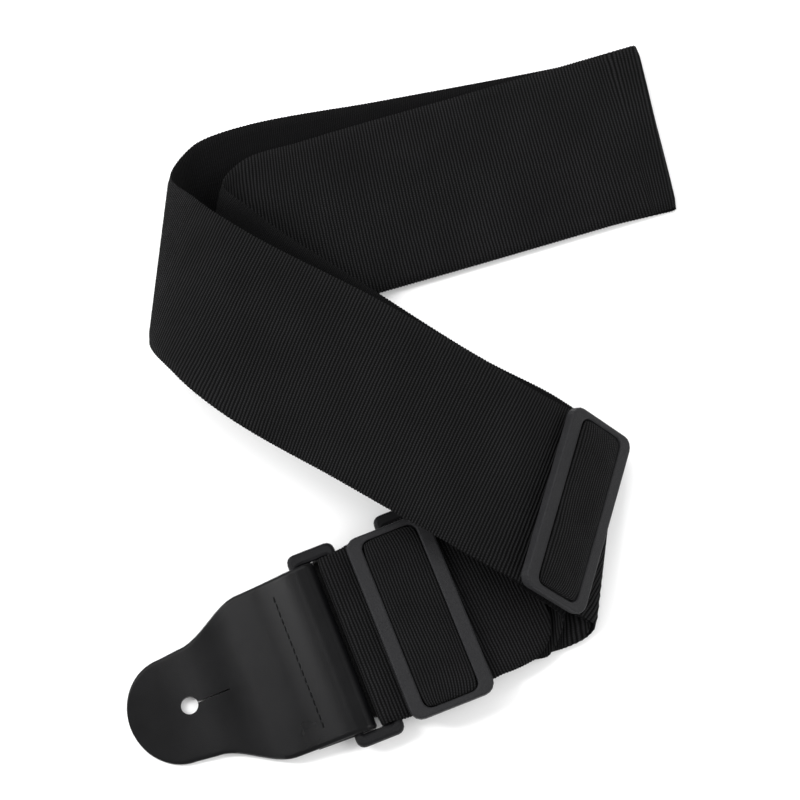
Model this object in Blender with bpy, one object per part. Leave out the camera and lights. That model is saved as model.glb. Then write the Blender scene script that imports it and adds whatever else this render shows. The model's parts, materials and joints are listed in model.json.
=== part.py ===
"""Guitar strap, laid down in a Z: one webbing, two tri-glides, two rings and two leather ends.

The webbing is doubled at its middle, so two layers run side by side through the Z. The inner layer goes
front run, left bend, second run, right bend, lower run, then through tri-glide A and round ring A. The
outer layer goes back run, tall left bend, main run, tri-glide B, right bend, lower run and round ring B.
Lengths are millimetres in the named values and metres in the meshes.
"""
import math

import bmesh
import bpy
import numpy as np
from mathutils import Matrix, Vector

MM = 0.001
GAP = 0.3

# Driving dimensions of the pieces
WEB_WIDTH = 76.2
WEB_THICK = 1.5
LEATHER_THICK = 2.2
LEATHER_LENGTH = 92.2
LEATHER_FOLD_HALF_WIDTH = 36.4
LEATHER_HALF_WIDTH = 35.4
LEATHER_NECK_HALF_WIDTH = 23.3
LEATHER_TIP_HALF_WIDTH = 22.3
LEATHER_TIP_LENGTH = 20.2
LEATHER_TAPER = (33.0, 63.0)
LEATHER_LEAN = 0.02
LEATHER_STRAIGHT_AT = 30.0
HOLE_RADIUS = 3.6
HOLE_FROM_FOLD = 66.6
SLIT_END_FROM_FOLD = 49.0
SLIT_WIDTH = 0.8
SLIT_OFFSET = 0.07
STITCH_FROM_FOLD = 19.2
STITCH_HALF_ROW = 29.0
STITCH_COUNT = 19
NEEDLE_SIZE = 1.4
THREAD_SIZE = 0.7
THREAD_RELIEF = 0.5
GROOVE_HALF_WIDTH = 1.0
GROOVE_DEPTH = 0.9
RING_SIZE = (84.2, 20.5)
RING_BAR = 3.6
RING_END_BAR = 5.4
GLIDE_SIZE = (79.0, 36.0)
GLIDE_THICK = 4.5
GLIDE_BAR = 6.2
GLIDE_END_BAR = 3.0
CENTRE_BAR = 6.0
CENTRE_BAR_THICK = 2.4

# Where things lie on the surface, before the origin is moved under the middle of the part
PLAN_CENTRE = (3.615, 2.445)
LOWER_HEADING = math.radians(21.6)
RING_A_PLACE = (-22.3, -104.5)
RING_A_HEIGHT = 8.3
RING_B_ALONG = 39.3
RING_B_ACROSS = 3.2
RING_B_HEIGHT = 4.4
GLIDE_A_ALONG = 32.0
GLIDE_A_ACROSS = -1.4
GLIDE_A_HEIGHT = 15.0
GLIDE_B_CENTRE = (71.6, -52.4, 25.4)
GLIDE_B_LONG = (0.282, 0.953, -0.115)
GLIDE_B_SHORT = (0.683, -0.283, -0.673)
WRAP_RADIUS = 3.0
WRAP_A_SLACK = 3.4
WRAP_HALF_WIDTH = 36.3
WRAP_SQUEEZE_LENGTH = 14.0
FOLD_RADIUS = 3.3
FOLD_SLACK = 4.0
LAYER_STEP = 2.05
RING_TURN = (RING_SIZE[1] - RING_BAR) / 2
JOIN_TRIM = 0.35
TAIL_A_END = 82.0
TAIL_CORNER = 15.0

# Heights of the leather over its ring's bar, as (distance from the fold, height)
LEATHER_A_LONG = [(3.3, 3.3), (9.0, 3.3), (14.5, 1.8), (20.0, 0.0), (25.0, -0.7), (45.0, -4.4),
                  (55.0, -4.6), (70.0, -6.5), (82.0, -7.15), (94.0, -7.15)]
LEATHER_A_SHORT = [(24.0, -3.3), (9.0, -3.3)]
LEATHER_B_LONG = [(3.3, -3.3), (94.0, -3.3)]
LEATHER_B_SHORT = [(24.0, -0.8), (18.5, -0.8), (14.5, 1.6), (9.0, 3.3)]

# Edge points (upper edge, lower edge) of the inner layer, from the end fold to the lower run
INNER_LAYER = [
    ((101.0, 157.3, 3.0), (116.3, 83.8, 3.0)),
    ((30.0, 135.4, 3.0), (40.0, 60.5, 3.2)),
    ((-42.8, 113.0, 3.4), (-48.0, 33.8, 4.0)),
    ((-65.8, 104.6, 6.0), (-78.8, 23.6, 6.0)),
    ((-75.0, 90.8, 13.5), (-88.5, 8.0, 13.5)),
    ((-63.0, 77.6, 21.0), (-73.5, -7.5, 21.0)),
    ((-12.3, 42.6, 21.0), (-28.0, -33.5, 21.5)),
    ((35.0, 12.0, 20.0), (16.3, -57.5, 21.5)),
    ((66.0, -4.5, 18.5), (52.0, -84.5, 16.5)),
    ((76.0, -12.5, 11.5), (66.5, -95.0, 9.0)),
    ((64.0, -25.5, 4.8), (60.0, -109.0, 4.7)),
]
# The same for the outer layer, from the back run to the bottom of the right bend
OUTER_LAYER = [
    ((100.5, 155.0, 0.75), (116.1, 83.0, 0.75)),
    ((51.9, 144.6, 0.75), (40.0, 64.6, 0.75)),
    ((-10.0, 132.4, 0.75), (-30.0, 51.0, 0.75)),
    ((-68.8, 120.8, 0.9), (-81.5, 40.8, 0.9)),
    ((-88.5, 110.5, 6.0), (-97.5, 33.0, 6.0)),
    ((-96.4, 92.0, 21.0), (-103.6, 20.0, 20.0)),
    ((-84.0, 76.0, 37.0), (-91.5, 2.5, 33.0)),
    ((-66.0, 62.0, 43.0), (-71.0, -15.5, 38.0)),
    ((-11.4, 33.7, 39.0), (-25.0, -42.0, 36.0)),
    ((30.0, 11.3, 32.0), (12.0, -62.5, 31.0)),
    ((64.0, -8.0, 27.5), (43.0, -79.5, 29.0)),
    ((79.5, -13.8, 16.3), (60.0, -87.2, 23.3)),
    ((87.2, -17.5, 8.2), (72.3, -92.4, 11.6)),
    ((89.8, -20.2, 4.2), (79.8, -96.5, 5.4)),
    ((86.0, -22.8, 1.1), (76.0, -100.8, 1.4)),
    ((77.0, -25.0, 0.85), (66.0, -105.3, 0.85)),
]


def plan(point):
    """A point in millimetres, moved so that the origin lies under the middle, in metres."""
    x, y, z = point
    return Vector(((x - PLAN_CENTRE[0]) * MM, (y - PLAN_CENTRE[1]) * MM, z * MM))


def clear_scene():
    for item in list(bpy.data.objects):
        bpy.data.objects.remove(item, do_unlink=True)


def material(name, colour, roughness):
    made = bpy.data.materials.new(name)
    made.use_nodes = True
    shader = made.node_tree.nodes["Principled BSDF"]
    shader.inputs["Base Color"].default_value = (*colour, 1.0)
    shader.inputs["Roughness"].default_value = roughness
    shader.inputs["Metallic"].default_value = 0.0
    return made


def add_object(name, mesh, look, parent=None, smooth_angle=40):
    """A named object; its mesh is in world space, or in its parent's space if it has one."""
    item = bpy.data.objects.new(name, mesh)
    bpy.context.scene.collection.objects.link(item)
    mesh.materials.append(look)
    mesh.shade_smooth()
    mesh.set_sharp_from_angle(angle=math.radians(smooth_angle))
    if parent:
        item.parent = parent
    return item


def add_joint_empty(name, matrix, parent=None):
    empty = bpy.data.objects.new(name, None)
    empty.empty_display_size = 0.01
    bpy.context.scene.collection.objects.link(empty)
    if parent:
        empty.parent = parent
        bpy.context.view_layer.update()
    empty.matrix_world = matrix
    bpy.context.view_layer.update()
    return empty


def smooth_rails(pairs, start, end, count):
    """Sample two rails together, from one index to another, as smooth curves that never overshoot."""
    rails = np.array(pairs, float)
    middle = rails.mean(axis=1)
    steps = np.linalg.norm(np.diff(middle, axis=0), axis=1)
    knots = np.concatenate([[0.0], np.cumsum(steps)])
    secants = np.diff(rails, axis=0) / steps[:, None, None]
    before, after = secants[:-1], secants[1:]
    same_way = before * after > 0
    total = np.where(same_way, before + after, 1.0)
    inner_slopes = np.where(same_way, 2 * before * after / total, 0.0)
    slopes = np.concatenate([secants[:1], inner_slopes, secants[-1:]])
    wanted = np.linspace(start, end, count)
    places = np.interp(wanted, range(len(knots)), knots)
    samples = []
    for place in places:
        index = int(np.clip(np.searchsorted(knots, place) - 1, 0, len(knots) - 2))
        span = knots[index + 1] - knots[index]
        u = (place - knots[index]) / span
        h00 = (1 + 2 * u) * (1 - u) ** 2
        h10 = u * (1 - u) ** 2
        h01 = u * u * (3 - 2 * u)
        h11 = u * u * (u - 1)
        samples.append(h00 * rails[index] + h10 * span * slopes[index]
                       + h01 * rails[index + 1] + h11 * span * slopes[index + 1])
    return np.array(samples)


def sheet_mesh(name, rails, thickness, across=4, lift=0.0):
    """A closed sheet between two rails, thickened evenly to both sides of its middle surface."""
    rails = np.array(rails, float)
    share = np.linspace(0.0, 1.0, across + 1)
    grid = rails[:, None, 0] * (1 - share)[None, :, None] + rails[:, None, 1] * share[None, :, None]
    along = np.gradient(grid, axis=0)
    sideways = np.gradient(grid, axis=1)
    normal = np.cross(sideways, along)
    normal /= np.linalg.norm(normal, axis=2, keepdims=True)
    grid = grid + normal * lift
    upper = grid + normal * thickness / 2
    lower = grid - normal * thickness / 2
    made = bmesh.new()
    top = [[made.verts.new(plan(point)) for point in row] for row in upper]
    bottom = [[made.verts.new(plan(point)) for point in row] for row in lower]
    last = len(top) - 1
    for i in range(last):
        for j in range(across):
            made.faces.new((top[i][j], top[i][j + 1], top[i + 1][j + 1], top[i + 1][j]))
            made.faces.new((bottom[i][j], bottom[i + 1][j], bottom[i + 1][j + 1], bottom[i][j + 1]))
        made.faces.new((top[i][0], top[i + 1][0], bottom[i + 1][0], bottom[i][0]))
        made.faces.new((top[i][across], bottom[i][across], bottom[i + 1][across], top[i + 1][across]))
    for j in range(across):
        made.faces.new((top[0][j], bottom[0][j], bottom[0][j + 1], top[0][j + 1]))
        made.faces.new((top[last][j], top[last][j + 1], bottom[last][j + 1], bottom[last][j]))
    bmesh.ops.recalc_face_normals(made, faces=made.faces)
    mesh = bpy.data.meshes.new(name)
    made.to_mesh(mesh)
    made.free()
    return mesh


def trim_ends(rails, start=GAP / 2, end=GAP / 2):
    """Pull the first and last pair of edge points back along the sheet, to leave a gap to its neighbour."""
    rails = np.array(rails, float)
    for place, neighbour, amount in ((0, 1, start), (-1, -2, end)):
        step = rails[neighbour] - rails[place]
        rails[place] += step / np.linalg.norm(step, axis=1, keepdims=True) * amount
    return rails


def lower_point(along, across, height):
    """A point in the lower run's own directions: along it to the right, across it and up."""
    x = RING_A_PLACE[0] + along * math.cos(LOWER_HEADING) - across * math.sin(LOWER_HEADING)
    y = RING_A_PLACE[1] + along * math.sin(LOWER_HEADING) + across * math.cos(LOWER_HEADING)
    return (x, y, height)


def squeezed_half_width(distance):
    """Half the webbing's width at a distance from its ring's bar; the ring's ends squeeze it."""
    share = min(1.0, abs(distance) / WRAP_SQUEEZE_LENGTH)
    return WRAP_HALF_WIDTH + (WEB_WIDTH / 2 - WRAP_HALF_WIDTH) * share


def lower_rails(places, bar):
    """Rails of a lower layer that goes round a bar.

    Each place is (along on the upper edge, along on the lower edge, height, across at the middle).
    """
    rails = []
    for upper, lower, height, centre in places:
        half = squeezed_half_width(min(upper, lower) - bar)
        rails.append((lower_point(upper, centre + half, height), lower_point(lower, centre - half, height)))
    return rails


def turn_rails(bar, centre, height, slack):
    """Rails of a half turn round a bar, from under it to over it, standing off from it by the slack."""
    rails = []
    for angle in np.radians(np.linspace(-90, 90, 11)):
        along = bar - slack - WRAP_RADIUS * math.cos(angle)
        rise = height + WRAP_RADIUS * math.sin(angle)
        rails.append((lower_point(along, centre + WRAP_HALF_WIDTH, rise),
                      lower_point(along, centre - WRAP_HALF_WIDTH, rise)))
    if slack > 0:
        shift = np.array(lower_point(slack, 0, 0)) - np.array(lower_point(0, 0, 0))
        rails = [np.array(rails[0]) + shift] + rails + [np.array(rails[-1]) + shift]
    return rails


def frame_mesh(name, outer, inner, corner, inner_corner, thickness, bevel):
    """A flat rectangular frame with rounded corners and edges, lying in its own XY plane."""
    made = bmesh.new()
    loops = []
    for size, radius in ((outer, corner), (inner, inner_corner)):
        half_x = size[1] / 2 - radius
        half_y = size[0] / 2 - radius
        ring = []
        for turn, (sx, sy) in enumerate(((1, 1), (-1, 1), (-1, -1), (1, -1))):
            for step in range(5):
                angle = math.pi / 2 * (turn + step / 4)
                ring.append((sx * half_x + radius * math.cos(angle),
                             sy * half_y + radius * math.sin(angle)))
        loops.append(ring)
    walls = []
    for height in (-thickness / 2, thickness / 2):
        walls.append([[made.verts.new((x * MM, y * MM, height * MM)) for x, y in ring] for ring in loops])
    count = len(loops[0])
    for i in range(count):
        j = (i + 1) % count
        made.faces.new((walls[1][0][i], walls[1][0][j], walls[1][1][j], walls[1][1][i]))
        made.faces.new((walls[0][0][i], walls[0][1][i], walls[0][1][j], walls[0][0][j]))
        made.faces.new((walls[0][0][i], walls[0][0][j], walls[1][0][j], walls[1][0][i]))
        made.faces.new((walls[0][1][i], walls[1][1][i], walls[1][1][j], walls[0][1][j]))
    bmesh.ops.recalc_face_normals(made, faces=made.faces)
    made.normal_update()
    rims = [edge for edge in made.edges if abs(edge.calc_face_angle(0)) > math.radians(60)]
    bmesh.ops.bevel(made, geom=rims, offset=bevel * MM, segments=2, profile=0.5, affect='EDGES')
    mesh = bpy.data.meshes.new(name)
    made.to_mesh(mesh)
    made.free()
    return mesh


def box_object(name, low, high, matrix=None):
    made = bmesh.new()
    bmesh.ops.create_cube(made, size=1.0)
    size = [b - a for a, b in zip(low, high)]
    centre = [(a + b) / 2 for a, b in zip(low, high)]
    for vert in made.verts:
        vert.co = Vector([(c + s * v) * MM for c, s, v in zip(centre, size, vert.co)])
    mesh = bpy.data.meshes.new(name)
    made.to_mesh(mesh)
    made.free()
    item = bpy.data.objects.new(name, mesh)
    bpy.context.scene.collection.objects.link(item)
    if matrix:
        item.matrix_world = matrix
    item.hide_render = True
    item.display_type = 'WIRE'
    return item


def combine(target, tool, operation, solver='EXACT'):
    """Join or cut with a Boolean, apply it, and remove the tool."""
    modifier = target.modifiers.new("combine", 'BOOLEAN')
    modifier.operation = operation
    modifier.solver = solver
    modifier.object = tool
    bpy.context.view_layer.update()
    graph = bpy.context.evaluated_depsgraph_get()
    mesh = bpy.data.meshes.new_from_object(target.evaluated_get(graph))
    target.modifiers.clear()
    flat = bmesh.new()
    flat.from_mesh(mesh)
    bmesh.ops.triangulate(flat, faces=flat.faces)
    flat.to_mesh(mesh)
    flat.free()
    target.data = mesh
    bpy.data.objects.remove(tool, do_unlink=True)


def lower_matrix(along, across, height):
    """The place and turn of a piece in the lower run: X along the run, Y across it, Z up."""
    place = Matrix.Translation(plan(lower_point(along, across, height)))
    return place @ Matrix.Rotation(LOWER_HEADING, 4, 'Z')


def glide_b_matrix():
    long_way = Vector(GLIDE_B_LONG).normalized()
    short_way = (Vector(GLIDE_B_SHORT) - long_way * long_way.dot(Vector(GLIDE_B_SHORT))).normalized()
    up = short_way.cross(long_way)
    turn = Matrix((short_way, long_way, up)).transposed().to_4x4()
    return Matrix.Translation(plan(GLIDE_B_CENTRE)) @ turn


def ring(name, parent, look):
    """A rectangular ring; its parent's origin is on the webbing-side bar."""
    inner = (RING_SIZE[0] - 2 * RING_END_BAR, RING_SIZE[1] - 2 * RING_BAR)
    mesh = frame_mesh(name, RING_SIZE, inner, 3.4, 0.8, RING_BAR, 1.5)
    mesh.transform(Matrix.Translation((-RING_TURN * MM, 0, 0)))
    return add_object(name, mesh, look, parent)


def tri_glide(name, parent, look):
    """An outer frame with a thinner, recessed centre bar that the webbing passes over."""
    inner = (GLIDE_SIZE[0] - 2 * GLIDE_END_BAR, GLIDE_SIZE[1] - 2 * GLIDE_BAR)
    mesh = frame_mesh(name, GLIDE_SIZE, inner, 5.0, 3.5, GLIDE_THICK, 0.8)
    item = add_object(name, mesh, look, parent)
    reach = GLIDE_SIZE[0] / 2 - GLIDE_END_BAR / 2
    floor = -GLIDE_THICK / 2 + 0.05
    bar = box_object("centre_bar", (-CENTRE_BAR / 2, -reach, floor),
                     (CENTRE_BAR / 2, reach, floor + CENTRE_BAR_THICK), parent.matrix_world)
    combine(item, bar, 'UNION')
    return item


def hump(name, parent, look):
    """The webbing bunched over a tri-glide's centre bar, a soft pillow between the outer bars."""
    half_long = GLIDE_SIZE[0] / 2 - GLIDE_END_BAR - 0.5
    half_short = GLIDE_SIZE[1] / 2 - GLIDE_BAR - 0.5
    base = -GLIDE_THICK / 2 + 0.05 + CENTRE_BAR_THICK + GAP
    made = bmesh.new()
    rows = 13
    columns = 9
    top = []
    bottom = []
    for i in range(rows):
        v = -1 + 2 * i / (rows - 1)
        for j in range(columns):
            u = -1 + 2 * j / (columns - 1)
            round_off = math.sqrt(max(0.0, 1 - 0.42 * u * u * v * v * (abs(u) * abs(v)) ** 2))
            x = u * half_short * (1 - 0.10 * v ** 8)
            y = v * half_long * (1 - 0.03 * u ** 8)
            rise = 2.6 * (1 - u ** 4) ** 0.5 * (1 - v ** 8) ** 0.5
            top.append(made.verts.new((x * round_off * MM, y * round_off * MM, (base + 1.0 + rise) * MM)))
            bottom.append(made.verts.new((x * round_off * MM, y * round_off * MM, base * MM)))
    for i in range(rows - 1):
        for j in range(columns - 1):
            a = i * columns + j
            b = a + columns
            made.faces.new((top[a], top[a + 1], top[b + 1], top[b]))
            made.faces.new((bottom[a], bottom[b], bottom[b + 1], bottom[a + 1]))
    rim = list(range(columns))
    rim += [i * columns + columns - 1 for i in range(1, rows)]
    rim += [(rows - 1) * columns + j for j in range(columns - 2, -1, -1)]
    rim += [i * columns for i in range(rows - 2, 0, -1)]
    for a, b in zip(rim, rim[1:] + rim[:1]):
        made.faces.new((bottom[a], bottom[b], top[b], top[a]))
    bmesh.ops.recalc_face_normals(made, faces=made.faces)
    mesh = bpy.data.meshes.new(name)
    made.to_mesh(mesh)
    made.free()
    return add_object(name, mesh, look, parent, 60)


def leather_half_width(place):
    """Half the width of a leather end at a distance from its fold."""
    start, end = LEATHER_TAPER
    tip_start = LEATHER_LENGTH - LEATHER_TIP_LENGTH
    if place <= start:
        return LEATHER_FOLD_HALF_WIDTH + (LEATHER_HALF_WIDTH - LEATHER_FOLD_HALF_WIDTH) * place / start
    if place <= end:
        u = (place - start) / (end - start)
        return LEATHER_HALF_WIDTH + (LEATHER_NECK_HALF_WIDTH - LEATHER_HALF_WIDTH) * u * u * (3 - 2 * u)
    if place <= tip_start:
        u = (place - end) / (tip_start - end)
        return LEATHER_NECK_HALF_WIDTH + (LEATHER_TIP_HALF_WIDTH - LEATHER_NECK_HALF_WIDTH) * u
    u = (place - tip_start) / LEATHER_TIP_LENGTH
    return LEATHER_TIP_HALF_WIDTH * math.sqrt(max(0.0, 1 - u * u))


def leather_centre(place):
    """How far across the middle of a leather end lies at a distance from its fold."""
    return LEATHER_LEAN * max(0.0, place - LEATHER_STRAIGHT_AT)


def leather_stations(short, long):
    """Stations from the short ply's end, round the ring's bar and along the long ply to the tip.

    Each is (distance from the fold, height above the bar's axis, half width).
    """
    side = 1 if long[0][1] > 0 else -1
    stations = []
    for place in np.linspace(short[0][0], short[-1][0], 6):
        stations.append((place, height_at(short, place), leather_half_width(place)))
    for angle in np.radians(np.linspace(-90, 90, 9)):
        place = FOLD_RADIUS - FOLD_RADIUS * math.cos(angle)
        stations.append((place, side * FOLD_RADIUS * math.sin(angle), leather_half_width(place)))
    tip_start = LEATHER_LENGTH - LEATHER_TIP_LENGTH
    flats = list(np.linspace(9.0, tip_start, 17))
    arc = [tip_start + LEATHER_TIP_LENGTH * math.sin(math.radians(a)) for a in (15, 30, 45, 57, 68, 78, 87)]
    for place in flats + arc:
        stations.append((place, height_at(long, place), leather_half_width(place)))
    return stations


def height_at(line, place):
    """The height of a line of (distance, height) points at a distance."""
    ordered = sorted(line)
    return float(np.interp(place, [p for p, _ in ordered], [h for _, h in ordered]))


def soften(stations, start):
    """Round the corners of the height line beyond one station."""
    values = np.array(stations, float)
    for _ in range(3):
        values[start:-1, 1] = (values[start - 1:-2, 1] + 2 * values[start:-1, 1] + values[start + 1:, 1]) / 4
    return [tuple(row) for row in values]


def leather_end(name, bar_along, across, bar_height, short, long, look):
    """A leather end folded round its ring's bar, with a button hole, its slit and its needle holes."""
    stations = soften(leather_stations(short, long), 16)
    fold_at = bar_along + FOLD_RADIUS + FOLD_SLACK
    rails = []
    for place, height, half in stations:
        centre = across + leather_centre(place)
        rails.append((lower_point(fold_at - place, centre + half, bar_height + height),
                      lower_point(fold_at - place, centre - half, bar_height + height)))
    item = add_object(name, sheet_mesh(name, rails, LEATHER_THICK, across=4), look)
    cut_button_hole(item, fold_at, across + leather_centre(HOLE_FROM_FOLD))
    cut_needle_holes(item, fold_at, across)
    if long[0][1] < 0:
        reach = STITCH_HALF_ROW + 1.2
        groove = box_object("groove", (-GROOVE_HALF_WIDTH, -reach, -5),
                            (GROOVE_HALF_WIDTH, reach, GROOVE_DEPTH),
                            lower_matrix(fold_at - STITCH_FROM_FOLD, across, 0))
        combine(item, groove, 'DIFFERENCE')
    return item


def cut_button_hole(item, fold_at, across):
    made = bmesh.new()
    bmesh.ops.create_cone(made, cap_ends=True, segments=24, radius1=HOLE_RADIUS * MM,
                          radius2=HOLE_RADIUS * MM, depth=0.05)
    mesh = bpy.data.meshes.new("hole")
    made.to_mesh(mesh)
    made.free()
    cutter = bpy.data.objects.new("hole", mesh)
    bpy.context.scene.collection.objects.link(cutter)
    cutter.matrix_world = lower_matrix(fold_at - HOLE_FROM_FOLD, across, 0)
    cutter.hide_render = True
    cutter.display_type = 'WIRE'
    combine(item, cutter, 'DIFFERENCE')
    slit = box_object("slit", (HOLE_RADIUS * 0.5, SLIT_OFFSET - SLIT_WIDTH / 2, -30),
                      (HOLE_FROM_FOLD - SLIT_END_FROM_FOLD, SLIT_OFFSET + SLIT_WIDTH / 2, 30),
                      lower_matrix(fold_at - HOLE_FROM_FOLD, across, 0))
    combine(item, slit, 'DIFFERENCE', 'MANIFOLD')


def stitch_places():
    return [float(place) for place in np.linspace(-STITCH_HALF_ROW, STITCH_HALF_ROW, STITCH_COUNT)]


def cut_needle_holes(item, fold_at, across):
    made = bmesh.new()
    for place in stitch_places():
        cube = bmesh.ops.create_cube(made, size=1.0)["verts"]
        for vert in cube:
            x, y, z = vert.co
            vert.co = Vector((x * NEEDLE_SIZE, y * NEEDLE_SIZE + place, z * 60)) * MM
    mesh = bpy.data.meshes.new("needles")
    made.to_mesh(mesh)
    made.free()
    cutter = bpy.data.objects.new("needles", mesh)
    bpy.context.scene.collection.objects.link(cutter)
    cutter.matrix_world = lower_matrix(fold_at - STITCH_FROM_FOLD, across, 0)
    cutter.hide_render = True
    cutter.display_type = 'WIRE'
    combine(item, cutter, 'DIFFERENCE')


def stitching(name, along, across, top, bottom, look):
    """One row of thread through both plies: a rail above, a rail below and a strand in each hole."""
    half = THREAD_SIZE / 2
    edges = [-STITCH_HALF_ROW - half]
    filled = []
    for place in stitch_places():
        if place > -STITCH_HALF_ROW:
            edges.append(place - half)
            filled.append(False)
        edges.append(place + half)
        filled.append(True)
    levels = [bottom - THREAD_RELIEF, bottom, top, top + THREAD_RELIEF]
    made = bmesh.new()
    grid = [[made.verts.new((-half * MM, y * MM, z * MM)) for y in edges] for z in levels]
    faces = []
    for row in range(3):
        for column, strand in enumerate(filled):
            if row == 1 and not strand:
                continue
            faces.append(made.faces.new((grid[row][column], grid[row][column + 1],
                                         grid[row + 1][column + 1], grid[row + 1][column])))
    extruded = bmesh.ops.extrude_face_region(made, geom=faces)
    moved = [item for item in extruded["geom"] if isinstance(item, bmesh.types.BMVert)]
    bmesh.ops.translate(made, verts=moved, vec=(2 * half * MM, 0, 0))
    bmesh.ops.recalc_face_normals(made, faces=made.faces)
    mesh = bpy.data.meshes.new(name)
    made.to_mesh(mesh)
    made.free()
    mesh.transform(lower_matrix(along, across, 0))
    return add_object(name, mesh, look)


def end_fold_rails():
    """The short turn at the middle of the webbing, from the front run down to the back run."""
    top = np.array(INNER_LAYER[0], float)
    low = np.array(OUTER_LAYER[0], float)
    middle = (top + low) / 2
    outward = np.array([math.cos(math.radians(14)), math.sin(math.radians(14)), 0.0])
    rails = []
    for angle in np.radians(np.linspace(90, -90, 9)):
        spread = (top - low) / 2 * math.sin(angle)
        rails.append(middle + spread + outward * 1.6 * math.cos(angle))
    return trim_ends(rails)


def inner_path():
    """Every pair of edge points of the inner layer, down to its turn round ring A."""
    under = RING_A_HEIGHT - WRAP_RADIUS
    bar = RING_TURN
    places = [(76, 68, 5.6, 4.6), (60, 58, 8.4, 3.6), (50, 50, 9.75, 2.6), (40, 40, 9.85, 1.4),
              (20, 20, 9.85, 0), (15, 15, 8.3, 0), (10.5, 10.5, under + 0.1, 0), (bar + 0.2, bar + 0.2, under, 0)]
    return INNER_LAYER + lower_rails(places, bar)


def outer_path():
    """Every pair of edge points of the outer layer, down to its turn round ring B."""
    bar = RING_B_ALONG + RING_TURN
    places = [(92, 76, 0.85, 5.4), (70, 64, 0.85, 4.2), (58, 58, 0.9, 3.6),
              (bar + 0.2, bar + 0.2, RING_B_HEIGHT - WRAP_RADIUS, RING_B_ACROSS)]
    return OUTER_LAYER + lower_rails(places, bar)


def build_long_layers(look):
    """The two layers, from the end fold through the Z and the lower run, in named stretches."""
    inner = inner_path()
    outer = outer_path()
    stretches = (
        ("webbing_front_run", inner, 0, 2.6, 14, 0.0),
        ("webbing_left_bend_inner", inner, 2.6, 5.2, 15, 0.0),
        ("webbing_second_run", inner, 5.2, 7.8, 12, 0.0),
        ("webbing_right_bend_inner", inner, 7.8, 10.3, 15, 0.0),
        ("webbing_lower_run_front", inner, 10.3, len(inner) - 1, 26, 0.0),
        ("webbing_back_run", outer, 0, 2.8, 14, 0.0),
        ("webbing_left_bend_outer", outer, 2.8, 7.2, 20, 0.0),
        ("webbing_main_run", outer, 7.2, 10, 14, 0.0),
        ("webbing_right_bend_outer", outer, 10, 15.3, 20, 0.0),
        ("webbing_lower_run_back", outer, 15.3, len(outer) - 1, 14, 0.0),
        ("webbing_right_bend_return", outer, 10, 15.3, 20, -LAYER_STEP),
        ("webbing_tail_b", outer, 9.3, 10, 5, -LAYER_STEP),
    )
    for name, path, start, end, count, lift in stretches:
        rails = trim_ends(smooth_rails(path, start, end, count), JOIN_TRIM, JOIN_TRIM)
        add_object(name, sheet_mesh(name, rails, WEB_THICK, lift=lift), look)
    add_object("webbing_end_fold", sheet_mesh("webbing_end_fold", end_fold_rails(), WEB_THICK), look)


def tail_half_width(place):
    """Half the width of the tail, whose two corners are cut to a round."""
    start = TAIL_A_END - TAIL_CORNER
    if place <= start:
        return WEB_WIDTH / 2
    return WEB_WIDTH / 2 - TAIL_CORNER + math.sqrt(max(0.0, TAIL_CORNER ** 2 - (place - start) ** 2))


def build_lower_turns(look):
    """The layer that comes back from ring B, the turns round both rings and the visible tail."""
    bar = RING_B_ALONG + RING_TURN
    joined = smooth_rails(outer_path(), 15.3, 15.4, 2)[0] + (0, 0, LAYER_STEP)
    places = [(bar + 0.2, bar + 0.2, RING_B_HEIGHT + WRAP_RADIUS, RING_B_ACROSS), (54, 54, 6.6, 3.4),
              (62, 58, 4.6, 3.8), (76, 66, 3.0, 4.6)]
    rails = lower_rails(places, bar) + [joined]
    sampled = trim_ends(smooth_rails(rails, 0, len(rails) - 1, 14), 0.25, 0.25)
    add_object("webbing_return_run", sheet_mesh("webbing_return_run", sampled, WEB_THICK), look)
    turn_a = trim_ends(turn_rails(RING_TURN, 0, RING_A_HEIGHT, WRAP_A_SLACK))
    turn_b = trim_ends(turn_rails(bar, RING_B_ACROSS, RING_B_HEIGHT, 0))
    add_object("webbing_turn_a", sheet_mesh("webbing_turn_a", turn_a, WEB_THICK, across=2), look)
    add_object("webbing_turn_b", sheet_mesh("webbing_turn_b", turn_b, WEB_THICK, across=2), look)
    build_tail_a(look)


def tail_centre(place):
    """How far across the middle of the tail lies; it drifts beyond tri-glide A, as the layers below do."""
    return height_at([(20, 0), (40, 1.4), (50, 2.6), (60, 3.6), (76, 4.6), (90, 5.4)], place)


def build_tail_a(look):
    """The layer that leaves ring A over its bar, runs under tri-glide A and ends with round corners."""
    start = RING_TURN + 0.2
    heights = [(start, RING_A_HEIGHT + WRAP_RADIUS), (14, 11.7), (50, 11.7), (62, 10.3), (76, 8.2),
               (TAIL_A_END, 7.9)]
    corner = TAIL_A_END - TAIL_CORNER
    places = list(np.linspace(start, corner, 20))
    places += [corner + TAIL_CORNER * math.sin(math.radians(a)) for a in (18, 36, 52, 66, 78, 88)]
    rails = []
    for place in places:
        half = min(tail_half_width(place), squeezed_half_width(place - RING_TURN))
        height = height_at(heights, place)
        centre = tail_centre(place)
        rails.append((lower_point(place, centre + half, height), lower_point(place, centre - half, height)))
    add_object("webbing_tail_a", sheet_mesh("webbing_tail_a", trim_ends(rails, end=0.0), WEB_THICK), look)


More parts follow.
